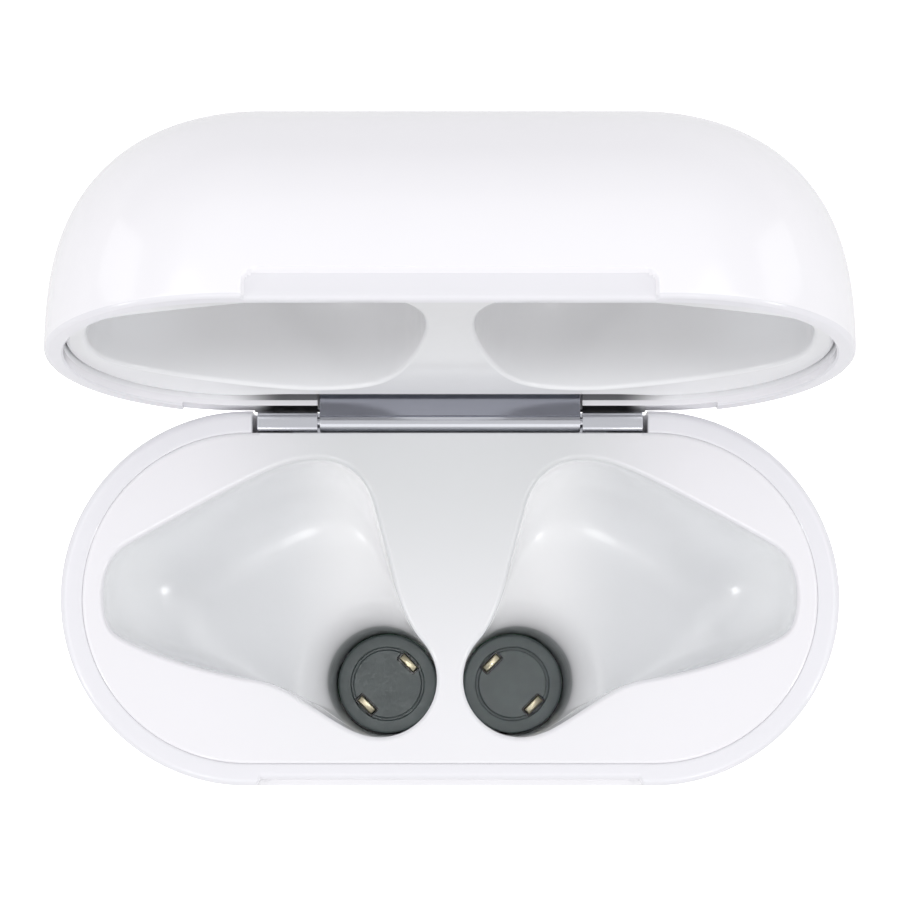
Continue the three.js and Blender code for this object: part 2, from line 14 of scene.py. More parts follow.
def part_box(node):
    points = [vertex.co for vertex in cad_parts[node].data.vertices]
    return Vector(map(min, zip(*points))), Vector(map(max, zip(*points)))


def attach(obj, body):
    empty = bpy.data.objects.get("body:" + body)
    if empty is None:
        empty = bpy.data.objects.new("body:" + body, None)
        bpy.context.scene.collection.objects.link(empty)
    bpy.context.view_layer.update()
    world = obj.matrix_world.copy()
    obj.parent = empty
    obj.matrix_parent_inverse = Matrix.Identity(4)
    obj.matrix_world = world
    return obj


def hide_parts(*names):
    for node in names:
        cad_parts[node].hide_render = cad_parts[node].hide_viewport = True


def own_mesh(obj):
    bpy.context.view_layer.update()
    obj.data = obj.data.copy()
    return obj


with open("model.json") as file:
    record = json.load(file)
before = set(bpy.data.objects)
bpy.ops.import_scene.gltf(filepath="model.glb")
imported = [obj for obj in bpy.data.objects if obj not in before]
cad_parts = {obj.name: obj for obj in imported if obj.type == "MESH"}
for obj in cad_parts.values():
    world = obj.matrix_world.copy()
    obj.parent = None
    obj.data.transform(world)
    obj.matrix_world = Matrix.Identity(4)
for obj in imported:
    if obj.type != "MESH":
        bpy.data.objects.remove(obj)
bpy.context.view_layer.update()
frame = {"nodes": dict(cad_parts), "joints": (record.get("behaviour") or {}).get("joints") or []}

# ---- Sizes taken from the frame ------------------------------------------------------------------
MM = 0.001


def box_mm(node):
    low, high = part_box(node)
    return np.array(low) / MM, np.array(high) / MM


def joint(name):
    return next(j for j in frame["joints"] if j["name"] == name)


shell_low, shell_high = box_mm("base_shell")
HALF_W, HALF_D, FLOOR_Z = shell_high[0], shell_high[1], shell_low[2]
HINGE = np.array(joint("lid_hinge")["pos_m"]) / MM
OPEN_ANGLE = math.radians(-joint("lid_hinge")["range_deg"][0])

# ---- The case's own dimensions -------------------------------------------------------------------
SEAM_GAP = 0.2
WALL = 1.4
RIM_WALL = 1.26
LID_WALL = 1.05
RIM_STEP = (-1.3, -1.45)  # the base's wall thickens from RIM_WALL to WALL between these heights
RIM_ROUND = 0.45
MOUTH_EDGE = 0.24
MIDWAY = 0.707  # run and rise halfway along a quarter circle
LID_RIM_ROUND = 0.3
LID_EDGE_ROUND = 0.1
FINE_WALL = -2.4  # above this height the base's rings stand close together, for the thumb recess
BASE_END = {"start": -27, "pole": FLOOR_Z, "half_width": 11.85, "half_depth": 3.6, "power": 2.4}
LID_START = SEAM_GAP + LID_RIM_ROUND
LID_END = {"start": LID_START, "pole": 13.3, "half_width": 9.9, "half_depth": 0.6, "power": 2.6}
RECESS = {"half_width": 10.95, "bottom": -1.5, "top": 1.85, "depth": 0.35, "corner": 0.9, "edge": 0.22}

KNUCKLE_R = 0.56
PIN_R = 0.27
PIN_HALF = 10.9
PIN_EASE = 0.06
BORE_R = 0.33
LEAF_HALF = 7.42
LEAF_GAP = 0.13
BRACKET_HALF = 10.97
NOTCH_HALF = 11.25
NOTCH_DEPTH = 3.6
NOTCH_ROUND = 0.35
NOTCH_EASE = 0.18
RELIEF_HALF = 15.2
RELIEF_DEPTH = 0.2
LEAF_THICKNESS = 0.5
LEAF_TOP = 5.2

STEM = np.array([4.0, -4.64])
STEM_R = 3.26
STEM_BOTTOM = -29.0
SCOOP_DEPTH = 9.0
MOUTH_ROUND = 2.3
WELL_WALL = 0.85
WELL_LIP = 0.32
INSERT_GAP = 0.1
DECK_GAP = 0.01
INSERT_ROUND = 0.3
SKIRT_TOP = -0.6
SKIRT_BOTTOM = -6
DECK_BOTTOM = -1.2
LINER_FACE = SEAM_GAP + 0.7
SHADE_START, SHADE_END = 0.76, 5  # the lid's wall is darkened between these heights, lid shut
POCKET_DEPTH = 9.4
POCKET_CENTRE = np.array([9.5, -0.3])
POCKET_WALL = 0.7
POCKET_LIP = 0.25

BUTTON_R = 2.7
BUTTON_Z = -13.6
LIGHT_R = 0.6
LIGHT_Z = -8.5
PORT_W = 4.5
PORT_D = 1.65
HOLE_DEPTH = 3

ARC_STEPS = 56
END_POINTS = 46
SHARP_ANGLE = 38


# ---- Mesh code -----------------------------------------------------------------------------------
def straight_stations():
    """Places along a stadium's straight sides, closer together where the thumb recess ends."""
    fine = np.linspace(0.86, 1.0, 17)
    return np.unique(np.round(np.concatenate([np.linspace(-1, 1, 31), fine, -fine]), 5))


def stadium_stations():
    """For each point round a stadium: its share of the straight half-length, and its direction from there."""
    rows = []
    inner = straight_stations()[1:-1]
    for side, straight in ((1, inner[::-1]), (-1, inner)):
        for i in range(ARC_STEPS + 1):
            angle = math.pi * (i / ARC_STEPS - 0.5) + (math.pi if side < 0 else 0)
            rows.append((side, math.cos(angle), math.sin(angle)))
        rows += [(share, 0.0, float(side)) for share in straight]
    return np.array(rows)


STATIONS = stadium_stations()


def stadium(half_width, half_depth, z):
    """A ring of points, counterclockwise from above."""
    x = STATIONS[:, 0] * (half_width - half_depth) + half_depth * STATIONS[:, 1]
    return np.stack([x, half_depth * STATIONS[:, 2], np.full(len(x), z)], axis=1)


def inset(amount, z):
    return stadium(HALF_W - amount, HALF_D - amount, z)


def end_rings(end, depth, near=()):
    """Rings from a shell's straight wall round to its pole; near lists extra heights to pass through."""
    direction = 1 if end["pole"] > end["start"] else -1
    rise = end["pole"] - end["start"] - direction * depth
    power = end["power"]
    shares = [(z - end["start"]) / rise for z in near]
    first = math.asin(max(shares) ** (power / 2)) if shares else 0.0
    shares += [math.sin(a) ** (2 / power) for a in np.linspace(first, math.pi / 2, END_POINTS)[1:]]
    rings = []
    for s in [0.0] + shares:
        c = max(0.0, 1 - s**power) ** (1 / power)
        width = end["half_width"] + (HALF_W - depth - end["half_width"]) * c
        half_depth = end["half_depth"] + (HALF_D - depth - end["half_depth"]) * c
        rings.append(stadium(width, half_depth, end["start"] + rise * s))
    return rings


def quarter(steps, power=2.0):
    """(run, rise) along a quarter of a superellipse, from (1, 0) to (0, 1)."""
    angles = [i / steps * math.pi / 2 for i in range(steps + 1)]
    return [(math.cos(a) ** (2 / power), math.sin(a) ** (2 / power)) for a in angles]


def mesh_object(name, points, faces):
    mesh = bpy.data.meshes.new(name)
    mesh.from_pydata((np.asarray(points, float) * MM).tolist(), [], faces)
    mesh.validate()
    made = bpy.data.objects.new(name, mesh)
    bpy.context.scene.collection.objects.link(made)
    return made


def ring_faces(count, rings, wrap=False):
    """Quads between neighbouring rings, and between the last and the first if wrap is true."""
    faces = []
    for r in range(rings if wrap else rings - 1):
        a, b = r * count, (r + 1) % rings * count
        faces += [(a + i, a + (i + 1) % count, b + (i + 1) % count, b + i) for i in range(count)]
    return faces


def skin(name, rings):
    """A closed body through rings of equal length, with flat ends."""
    count = len(rings[0])
    faces = ring_faces(count, len(rings))
    faces.append(tuple(reversed(range(count))))
    faces.append(tuple(range((len(rings) - 1) * count, len(rings) * count)))
    return mesh_object(name, np.concatenate(rings), faces)


def lathe(name, profile, steps=64):
    """Turns (radius, z) points round Z; the profile is a closed loop, or starts and ends at radius 0."""
    angles = np.linspace(0, 2 * math.pi, steps, endpoint=False)
    on_axis = profile[0][0] == 0 and profile[-1][0] == 0
    inner = profile[1:-1] if on_axis else profile
    rings = [np.stack([r * np.cos(angles), r * np.sin(angles), np.full(steps, z)], 1) for r, z in inner]
    faces = ring_faces(steps, len(rings), wrap=not on_axis)
    points = np.concatenate(rings)
    if on_axis:
        points = np.vstack([points, [0, 0, profile[0][1]], [0, 0, profile[-1][1]]])
        low, high, last = len(points) - 2, len(points) - 1, (len(rings) - 1) * steps
        faces += [(low, (i + 1) % steps, i) for i in range(steps)]
        faces += [(high, last + i, last + (i + 1) % steps) for i in range(steps)]
    return mesh_object(name, points, faces)


def prism(name, outline, low, high, flare=0.0):
    """An outline in X and Y drawn up from z = low to high; flare rounds its edges, or widens them below 0."""
    outline = np.asarray(outline, float)
    normals = outline_normals(outline)
    levels = []
    for c, s in quarter(4) if flare else [(1, 0)]:
        levels.append((low + abs(flare) * (1 - c), -flare * (1 - s)))
    levels += [(low + high - z, offset) for z, offset in reversed(levels)]
    rings = [np.c_[outline + normals * offset, np.full(len(outline), z)] for z, offset in levels]
    return skin(name, rings)


def outline_normals(outline):
    along = np.roll(outline, -1, axis=0) - np.roll(outline, 1, axis=0)
    outward = np.stack([along[:, 1], -along[:, 0]], axis=1)
    return outward / np.linalg.norm(outward, axis=1, keepdims=True)


def rounded_rectangle(half_width, half_height, corner, steps=8):
    points = []
    for quadrant, (sx, sy) in enumerate(((1, 1), (-1, 1), (-1, -1), (1, -1))):
        for i in range(steps + 1):
            angle = (quadrant + i / steps) * math.pi / 2
            x = sx * (half_width - corner) + corner * math.cos(angle)
            points.append((x, sy * (half_height - corner) + corner * math.sin(angle)))
    return np.array(points)


def turned(obj, matrix):
    obj.data.transform(matrix)
    if matrix.determinant() < 0:
        obj.data.flip_normals()
    return obj


def moved(obj, x=0.0, y=0.0, z=0.0):
    return turned(obj, Matrix.Translation(Vector((x, y, z)) * MM))


def facing_back(obj):
    """Turns a piece's own +Z to +Y, keeping its +X."""
    return turned(obj, Matrix(((1, 0, 0, 0), (0, 0, 1, 0), (0, -1, 0, 0), (0, 0, 0, 1))))


def facing_front(obj):
    """Turns a piece's own +Z to -Y, keeping its +X."""
    return turned(obj, Matrix.Rotation(math.pi / 2, 4, "X"))


def along_x(obj):
    """Turns a piece's own X and Y to Y and Z, and its length to X."""
    return turned(obj, Matrix(((0, 0, 1, 0), (1, 0, 0, 0), (0, 1, 0, 0), (0, 0, 0, 1))))


def combine(obj, tools, operation="DIFFERENCE"):
    """Joins tools to obj, or cuts them from it, and removes them."""
    for tool in tools:
        step = obj.modifiers.new("combine", "BOOLEAN")
        step.operation = operation
        step.solver = "EXACT"
        step.object = tool
        graph = bpy.context.evaluated_depsgraph_get()
        result = bpy.data.meshes.new_from_object(obj.evaluated_get(graph))
        obj.modifiers.clear()
        old, obj.data = obj.data, result
        bpy.data.meshes.remove(old)
        bpy.data.objects.remove(tool)
    return obj


def block(name, low, high):
    low, high = np.array(low, float), np.array(high, float)
    outline = [(low[0], low[1]), (high[0], low[1]), (high[0], high[1]), (low[0], high[1])]
    rings = [np.c_[outline, np.full(4, z)] for z in (low[2], high[2])]
    return skin(name, rings)


def lid_space(obj):
    """Takes a piece modelled with the lid shut to where it stands with the lid open."""
    pivot = Matrix.Translation(Vector(HINGE) * MM)
    return turned(obj, pivot @ Matrix.Rotation(-OPEN_ANGLE, 4, "X") @ pivot.inverted())


def piece(obj, node, body, material):
    """Finishes a visible piece: smooth shading, its body, the node it stands for and its material."""
    obj.data.materials.clear()
    obj.data.materials.append(material)
    obj.data.shade_smooth()
    obj.data.set_sharp_from_angle(angle=math.radians(SHARP_ANGLE))
    normals = obj.modifiers.new("normals", "WEIGHTED_NORMAL")
    normals.keep_sharp = True
    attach(obj, body)
    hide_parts(node)
    return obj


# ---- Materials -----------------------------------------------------------------------------------
def material(name):
    made = bpy.data.materials.new(name)
    made.use_nodes = True
    nodes, links = made.node_tree.nodes, made.node_tree.links
    shader = nodes["Principled BSDF"]
    place = nodes.new("ShaderNodeTexCoord").outputs["Object"]
    return made, nodes, links, shader, place


def noise(nodes, links, place, scale, detail=3.0, stretch=(1, 1, 1)):
    mapping = nodes.new("ShaderNodeMapping")
    mapping.inputs["Scale"].default_value = stretch
    links.new(place, mapping.inputs["Vector"])
    texture = nodes.new("ShaderNodeTexNoise")
    texture.inputs["Scale"].default_value = scale
    texture.inputs["Detail"].default_value = detail
    links.new(mapping.outputs["Vector"], texture.inputs["Vector"])
    return texture.outputs["Fac"]


def ramp(nodes, links, value, low, high):
    """Maps 0.3-0.7 of a noise onto low-high; both are colours, or both are numbers."""
    if isinstance(low, (int, float)):
        spread = nodes.new("ShaderNodeMapRange")
        spread.inputs["From Min"].default_value = 0.3
        spread.inputs["From Max"].default_value = 0.7
        spread.inputs["To Min"].default_value = low
        spread.inputs["To Max"].default_value = high
        links.new(value, spread.inputs["Value"])
        return spread.outputs["Result"]
    spread = nodes.new("ShaderNodeValToRGB")
    spread.color_ramp.elements[0].position = 0.3
    spread.color_ramp.elements[1].position = 0.7
    spread.color_ramp.elements[0].color = (*low, 1)
    spread.color_ramp.elements[1].color = (*high, 1)
    links.new(value, spread.inputs["Fac"])
    return spread.outputs["Color"]


def bump(nodes, links, height, shader, strength, distance):
    made = nodes.new("ShaderNodeBump")
    made.inputs["Strength"].default_value = strength
    made.inputs["Distance"].default_value = distance
    links.new(height, made.inputs["Height"])
    links.new(made.outputs["Normal"], shader.inputs["Normal"])


def surface(
    name, colour, spread, roughness, metallic=0.0, scale=400, stretch=(1, 1, 1), relief=0.00001, coat=0.0
):
    """A moulded, plated or coated surface: slight patches of colour and gloss over a fine relief."""
    made, nodes, links, shader, place = material(name)
    colour = np.array(colour)
    patches = noise(nodes, links, place, scale, stretch=stretch)
    grain = noise(nodes, links, place, scale * 9, detail=2.0, stretch=stretch)
    low, high = colour * (1 - spread), np.minimum(colour * (1 + spread), 1)
    links.new(ramp(nodes, links, patches, tuple(low), tuple(high)), shader.inputs["Base Color"])
    gloss = ramp(nodes, links, grain, roughness * 0.85, roughness * 1.15)
    links.new(gloss, shader.inputs["Roughness"])
    shader.inputs["Metallic"].default_value = metallic
    shader.inputs["Coat Weight"].default_value = coat
    shader.inputs["Coat Roughness"].default_value = 0.03
    bump(nodes, links, grain, shader, 0.25, relief)
    return made


def moulded(name, colour, roughness, coat=0.25):
    """Smooth moulded plastic under a thin clear gloss."""
    return surface(name, colour, 0.006, roughness, scale=120, relief=0.000002, coat=coat)


def painted_shading(name, colour, layers, roughness):
    """Moulded plastic with painted light and shade laid over its colour.

    Each layer is a colour and the spans that it fades in over: an axis, and where on it, in mm, the colour
    starts and is full. A layer with two spans shows only where both do. X counts from the middle both ways.
    """
    made = moulded(name, colour, roughness)
    nodes, links = made.node_tree.nodes, made.node_tree.links
    shader = nodes["Principled BSDF"]
    split = nodes.new("ShaderNodeSeparateXYZ")
    links.new(nodes.new("ShaderNodeTexCoord").outputs["Object"], split.inputs["Vector"])

    def share(axis, start, end):
        size = nodes.new("ShaderNodeMath")
        size.operation = "ABSOLUTE" if axis == "X" else "ADD"
        size.inputs[1].default_value = 0
        links.new(split.outputs[axis], size.inputs[0])
        span = nodes.new("ShaderNodeMapRange")
        span.interpolation_type = "SMOOTHSTEP"
        span.inputs["From Min"].default_value = start * MM
        span.inputs["From Max"].default_value = end * MM
        links.new(size.outputs["Value"], span.inputs["Value"])
        return span.outputs["Result"]

    for tone, *spans in layers:
        factor = share(*spans[0])
        for span in spans[1:]:
            both = nodes.new("ShaderNodeMath")
            both.operation = "MULTIPLY"
            links.new(factor, both.inputs[0])
            links.new(share(*span), both.inputs[1])
            factor = both.outputs["Value"]
        mixed = nodes.new("ShaderNodeMix")
        mixed.data_type = "RGBA"
        mixed.inputs["B"].default_value = (*tone, 1)
        links.new(factor, mixed.inputs["Factor"])
        links.new(shader.inputs["Base Color"].links[0].from_socket, mixed.inputs["A"])
        links.new(mixed.outputs["Result"], shader.inputs["Base Color"])
    return made


DEEP = ("Z", -0.25, -1.6)  # inside the wells, where painted light lightens the deck's colour
# Painted light and shade on the insert: the deck darker towards the back, in the open lid's shade, and
# lighter towards the sides; the wells lighter inside, lightest towards the middle and lighter at their outer
# ends.
deck_light_and_shade = [
    ((0.665, 0.675, 0.685), ("Y", -9, 7)),
    ((0.79, 0.78, 0.81), ("X", 5, 15)),
    ((0.81, 0.82, 0.835), DEEP),
    ((0.99, 0.99, 0.995), DEEP, ("X", 10.5, 5)),
    ((0.88, 0.89, 0.9), DEEP, ("X", 15.5, 19)),
]
# Painted light and shade on the liner: darker towards its outer ends and further along Y, deep in the pockets
# and away from the hinge, with the pockets' far outer ends lighter again.
liner_light_and_shade = [
    ((0.8, 0.805, 0.82), ("X", 12, 17)),
    ((0.69, 0.69, 0.7), ("Y", 11.5, 15)),
    ((0.78, 0.785, 0.8), ("Y", 11.5, 15), ("X", 13, 18)),
]
shell_white = moulded("shell_white", (0.86, 0.85, 0.88), 0.16, 0.35)
shaded_insert_white = painted_shading("shaded_insert_white", (0.775, 0.77, 0.795), deck_light_and_shade, 0.2)
shaded_liner_white = painted_shading("shaded_liner_white", (0.87, 0.875, 0.89), liner_light_and_shade, 0.2)
# Painted shade: a darker copy of the shell's white for the thumb recess's floor and the faces of the rims.
shaded_recess_white = moulded("shaded_recess_white", (0.755, 0.75, 0.785), 0.2)
# Painted shadows on the lid: the wall beside the liner, and the rim's edge behind the hinge.
shaded_white = painted_shading("shaded_white", (0.14, 0.14, 0.15), [((0.86, 0.86, 0.88), ("X", 9.5, 12.5))], 0.5)
painted_gap_shadow = painted_shading("painted_gap_shadow", (0.012, 0.012, 0.014), [((0.6, 0.6, 0.62), ("X", 10, 11.3))], 0.6)
hinge_steel = surface("hinge_steel", (0.62, 0.63, 0.67), 0.05, 0.17, 1.0, 500, (0.08, 1, 1), 0.000004)
# Painted shade: a darker copy of the hinge steel for the leaf's plate, standing for the dark lid interior
# that it reflects.
shaded_leaf_steel = surface("shaded_leaf_steel", (0.36, 0.37, 0.42), 0.05, 0.2, 1.0, 500, (0.08, 1, 1), 0.000004)
pressed_steel = surface("pressed_steel", (0.5, 0.51, 0.53), 0.08, 0.32, 1.0, 500, (1, 1, 0.15), 0.00001)
port_steel = surface("port_steel", (0.6, 0.6, 0.62), 0.06, 0.26, 1.0, 600, (1, 1, 0.2), 0.00001)
nickel = surface("nickel", (0.5, 0.5, 0.49), 0.1, 0.3, 1.0, 700, relief=0.00002)
slate = surface("slate", (0.27, 0.32, 0.325), 0.08, 0.42, scale=600, relief=0.00001)
gold = surface("gold", (0.72, 0.65, 0.47), 0.05, 0.42, 1.0, 900, relief=0.000001)
spring_strip = surface("spring_strip", (0.6, 0.6, 0.6), 0.08, 0.25, 1.0, 900, relief=0.00001)
foil = surface("foil", (0.55, 0.57, 0.6), 0.1, 0.38, 0.8, 160, relief=0.00012)
foam = surface("foam", (0.02, 0.02, 0.022), 0.3, 0.9, scale=900, relief=0.0002)
ferrite = surface("ferrite", (0.05, 0.05, 0.055), 0.2, 0.65, scale=900, relief=0.00003)
chip_black = surface("chip_black", (0.02, 0.02, 0.023), 0.2, 0.42, scale=900, relief=0.00002)
frosted = surface("frosted", (0.8, 0.82, 0.84), 0.02, 0.2, scale=500, relief=0.000005, coat=0.3)


def wave_texture(nodes, pitch):
    """A wave texture whose bands or rings are about pitch mm apart."""
    wave = nodes.new("ShaderNodeTexWave")
    wave.inputs["Scale"].default_value = 1 / (math.pi * pitch * MM)
    wave.inputs["Distortion"].default_value = 0.0
    return wave


def striped(name, colour, stripe, axis, pitch, share, roughness):
    """Fine parallel tracks of one colour on another, such as the copper tracks in a circuit film."""
    made, nodes, links, shader, place = material(name)
    wave = wave_texture(nodes, pitch)
    wave.bands_direction = axis
    links.new(place, wave.inputs["Vector"])
    mask = nodes.new("ShaderNodeMath")
    mask.operation = "GREATER_THAN"
    mask.inputs[1].default_value = 1 - share
    links.new(wave.outputs["Fac"], mask.inputs[0])
    mixed = nodes.new("ShaderNodeMix")
    mixed.data_type = "RGBA"
    mixed.inputs["A"].default_value = (*colour, 1)
    mixed.inputs["B"].default_value = (*stripe, 1)
    links.new(mask.outputs["Value"], mixed.inputs["Factor"])
    links.new(mixed.outputs["Result"], shader.inputs["Base Color"])
    gloss = ramp(nodes, links, noise(nodes, links, place, 900), roughness * 0.8, roughness * 1.2)
    links.new(gloss, shader.inputs["Roughness"])
    bump(nodes, links, wave.outputs["Fac"], shader, 0.4, 0.00003)
    return made


film = striped("film", (0.012, 0.012, 0.013), (0.03, 0.025, 0.02), "X", 0.5, 0.45, 0.35)
board = striped("board", (0.02, 0.12, 0.06), (0.05, 0.2, 0.1), "DIAGONAL", 1.1, 0.4, 0.4)


def wound(name, centre, pitch):
    """Enamelled copper wire wound flat about a centre on the Y axis."""
    made, nodes, links, shader, place = material(name)
    mapping = nodes.new("ShaderNodeMapping")
    mapping.inputs["Location"].default_value = -centre * MM
    links.new(place, mapping.inputs["Vector"])
    wave = wave_texture(nodes, pitch)
    wave.wave_type = "RINGS"
    wave.rings_direction = "Y"
    links.new(mapping.outputs["Vector"], wave.inputs["Vector"])
    tint = ramp(nodes, links, wave.outputs["Fac"], (0.25, 0.09, 0.03), (0.72, 0.36, 0.16))
    links.new(tint, shader.inputs["Base Color"])
    shader.inputs["Metallic"].default_value = 1.0
    gloss = ramp(nodes, links, noise(nodes, links, place, 900), 0.25, 0.4)
    links.new(gloss, shader.inputs["Roughness"])
    bump(nodes, links, wave.outputs["Fac"], shader, 0.8, 0.0001)
    return made


coil_low, coil_high = box_mm("charging_coil")
copper = wound("copper", (coil_low + coil_high) / 2, 0.35)


# ---- Shells --------------------------------------------------------------------------------------
def press_recess(ring):
    """Pushes the front wall in over the thumb recess, with soft edges and rounded corners."""
    middle = (RECESS["top"] + RECESS["bottom"]) / 2
    half_height = (RECESS["top"] - RECESS["bottom"]) / 2
    corner = RECESS["corner"]
    across = np.abs(ring[:, 0]) - (RECESS["half_width"] - corner)
    up = np.abs(ring[:, 2] - middle) - (half_height - corner)
    outside = np.hypot(np.maximum(across, 0), np.maximum(up, 0))
    depth_in = corner - outside - np.minimum(np.maximum(across, up), 0)
    share = np.clip(depth_in / RECESS["edge"], 0, 1)
    share = share * share * (3 - 2 * share)
    front = ring[:, 1] < -HALF_D + LID_WALL - 0.15
    ring[front, 1] += RECESS["depth"] * share[front]
    return ring


def base_shell():
    low_rings = end_rings(BASE_END, 0)[::-1]
    wall = [inset(0, z) for z in np.linspace(BASE_END["start"], FINE_WALL, 12)[1:]]
    wall += [inset(0, z) for z in np.linspace(FINE_WALL, -RIM_ROUND, 17)[1:-1]]
    rim = [inset(RIM_ROUND * (1 - c), RIM_ROUND * (s - 1)) for c, s in quarter(8)]
    edge = [
        inset(RIM_WALL - MOUTH_EDGE * (MIDWAY - c), -MOUTH_EDGE * (1 - s))
        for c, s in reversed(quarter(8)[4:])
    ]
    inner = end_rings(BASE_END, WALL)
    inner_wall = [inset(RIM_WALL, SKIRT_TOP), inset(RIM_WALL, RIM_STEP[0]), inset(WALL, RIM_STEP[1])]
    inner_wall += [inset(WALL, z) for z in np.linspace(SKIRT_BOTTOM, BASE_END["start"], 5)[:-1]]
    outer = [press_recess(ring) for ring in low_rings + wall + rim]
    return skin("base_shell_body", outer + edge + inner_wall + inner)


def lid_shell():
    recess_heights = np.linspace(LID_START + 0.12, 2.5, 16)
    outer = end_rings(LID_END, 0, recess_heights)
    rim = [
        inset(LID_RIM_ROUND * (1 - s), SEAM_GAP + LID_RIM_ROUND * (1 - c)) for c, s in quarter(7)[:-1]
    ]
    edge = [
        inset(LID_WALL - LID_EDGE_ROUND * s, SEAM_GAP + LID_EDGE_ROUND * (1 - s)) for s in (0, 0.3, 0.7, 1)
    ]
    liner_heights = (0.72, 0.9, 1.4, 2.4)
    inner = end_rings(LID_END, LID_WALL, liner_heights)[::-1]
    return skin("lid_shell_body", inner + edge + [press_recess(ring) for ring in rim + outer])


def flared_hole(name, radius, outer, inner, flare):
    """A cutter for a round hole along Z, from inner up to outer, widening at the outer face."""
    rise = [(radius + flare * (1 - c), outer - flare * (1 - s)) for c, s in quarter(6)]
    profile = [(0, inner), (radius, inner)] + rise + [(radius + flare, outer + 1), (0, outer + 1)]
    return lathe(name, profile, 72)


def notch_cutter():
    """The slot for the hinge, rounded at the bottom and eased where it meets the rim."""
    turn = [
        (NOTCH_HALF - NOTCH_ROUND * (1 - s), -NOTCH_DEPTH + NOTCH_ROUND * (1 - c)) for c, s in quarter(6)
    ]
    ease = [(NOTCH_HALF + NOTCH_EASE * (1 - c), -NOTCH_EASE * (1 - s)) for c, s in quarter(6)]
    side = turn + ease + [(NOTCH_HALF + NOTCH_EASE, 2)]
    outline = side + [(-x, z) for x, z in reversed(side)]
    outline = [(x, -z) for x, z in reversed(outline)]
    return facing_back(prism("notch", outline, HALF_D - WALL - 0.15, HALF_D + 0.3))


def build_base_shell():
    body = base_shell()
    notch = notch_cutter()
    button = flared_hole("button_hole", BUTTON_R + 0.1, HALF_D, HALF_D - HOLE_DEPTH, 0.12)
    button = moved(facing_back(button), z=BUTTON_Z)
    light = flared_hole("light_hole", LIGHT_R + 0.03, HALF_D, HALF_D - HOLE_DEPTH, 0.06)
    light = moved(facing_front(light), z=LIGHT_Z)
    mouth = rounded_rectangle(PORT_W + 0.4, PORT_D + 0.4, PORT_D + 0.39, 16)
    port = prism("port", mouth, FLOOR_Z - 1, FLOOR_Z + HOLE_DEPTH)
    return combine(body, [notch, button, light, port])


def relief_cutter(name, outer_top, low, high):
    """Takes the edge off a stretch of the lid's back rim, down to outer_top at the outside."""
    inner_top = SEAM_GAP + RELIEF_DEPTH
    outline = [(HALF_D - 3, -1), (HALF_D + 1, -1), (HALF_D + 1, outer_top + 0.1)]
    outline += [(HALF_D, outer_top + 0.06), (HALF_D - 0.06, outer_top), (HALF_D - LID_WALL, inner_top)]
    return along_x(prism(name, outline + [(HALF_D - 3, inner_top)], low, high))


def build_lid_shell():
    body = lid_shell()
    half = LEAF_HALF + LEAF_GAP
    slot = block("slot", (-half, HALF_D - 3, -1), (half, HINGE[1] + 0.1, LEAF_TOP + 0.3))
    near = NOTCH_HALF - 0.1
    middle = relief_cutter("relief", SEAM_GAP + 0.09, -near - 0.02, near + 0.02)
    sides = [
        relief_cutter("relief", SEAM_GAP + RELIEF_DEPTH, *ends)
        for ends in ((-RELIEF_HALF, -near), (near, RELIEF_HALF))
    ]
    return combine(body, [slot, middle] + sides)


def shade_lid_rim(obj):
    """Paints shade on the lid: on its rim and recess, darker on its wall beside the liner, and darkest on its
    edge behind the hinge.
    """
    for finish in (shaded_white, shaded_recess_white, painted_gap_shadow):
        obj.data.materials.append(finish)
    for face in obj.data.polygons:
        x, y, z = face.center / MM
        inside = math.hypot(max(abs(x) - HALF_W + HALF_D, 0), y) < HALF_D - LID_WALL + 0.02
        behind_hinge = y > 9 and abs(x) < NOTCH_HALF
        if behind_hinge and z < SEAM_GAP + RELIEF_DEPTH + 0.03 and face.normal.z < -0.5:
            face.material_index = 3
        elif inside and SHADE_START < z < SHADE_END:
            face.material_index = 1
        elif z < SEAM_GAP + LID_RIM_ROUND and face.normal.z < -0.2:
            face.material_index = 2
    shade_recess(obj, 2)


def shade_recess(obj, index):
    """Gives the thumb recess's floor the material at index, its painted shade."""
    for face in obj.data.polygons:
        x, y, z = face.center / MM
        on_floor = abs(y + HALF_D - RECESS["depth"]) < 0.05
        across = abs(x) < RECESS["half_width"] - 0.2
        if on_floor and across and RECESS["bottom"] + 0.2 < z < RECESS["top"] - 0.2:
            face.material_index = index


def shade_base_rim(obj, index):
    """Gives the top of the base's rim the material at index, its painted shade."""
    for face in obj.data.polygons:
        if face.center.z / MM > -RIM_ROUND and face.normal.z > 0.2:
            face.material_index = index


base = piece(build_base_shell(), "base_shell", "base", shell_white)
base.data.materials.append(shaded_recess_white)
shade_recess(base, 1)
shade_base_rim(base, 1)
lid = piece(build_lid_shell(), "lid_shell", "lid", shell_white)
shade_lid_rim(lid)
lid_space(lid)


# ---- Wells ---------------------------------------------------------------------------------------
# The right-hand well's mouth as a chain of cubic curves, from the front of the stem tube round the scoop's
# outer end and back to the tube's other side.
SCOOP_CHAIN = [
    [(5.5, -7.58), (7.46, -6.58), (9.3, -4.87), (10.9, -4.65)],
    [(10.9, -4.65), (13.57, -4.27), (16.9, -3.3), (19.1, -2.04)],
    [(19.1, -2.04), (19.6, -1.7), (19.75, -0.6), (19.72, 0.4)],
    [(19.72, 0.4), (19.7, 1.6), (19.3, 2.5), (18.3, 3.06)],
    [(18.3, 3.06), (16.1, 4.3), (12.6, 6.25), (10.3, 7.26)],
    [(10.3, 7.26), (9.5, 7.6), (8.5, 7.9), (7.5, 7.9)],
    [(7.5, 7.9), (6.0, 7.9), (4.75, 7.0), (4.35, 5.4)],
    [(4.35, 5.4), (4.05, 4.2), (3.5, 2.3), (3.15, 0.72)],
    [(3.15, 0.72), (2.85, -0.3), (2.31, -1.67), (1.7, -2.34)],
]
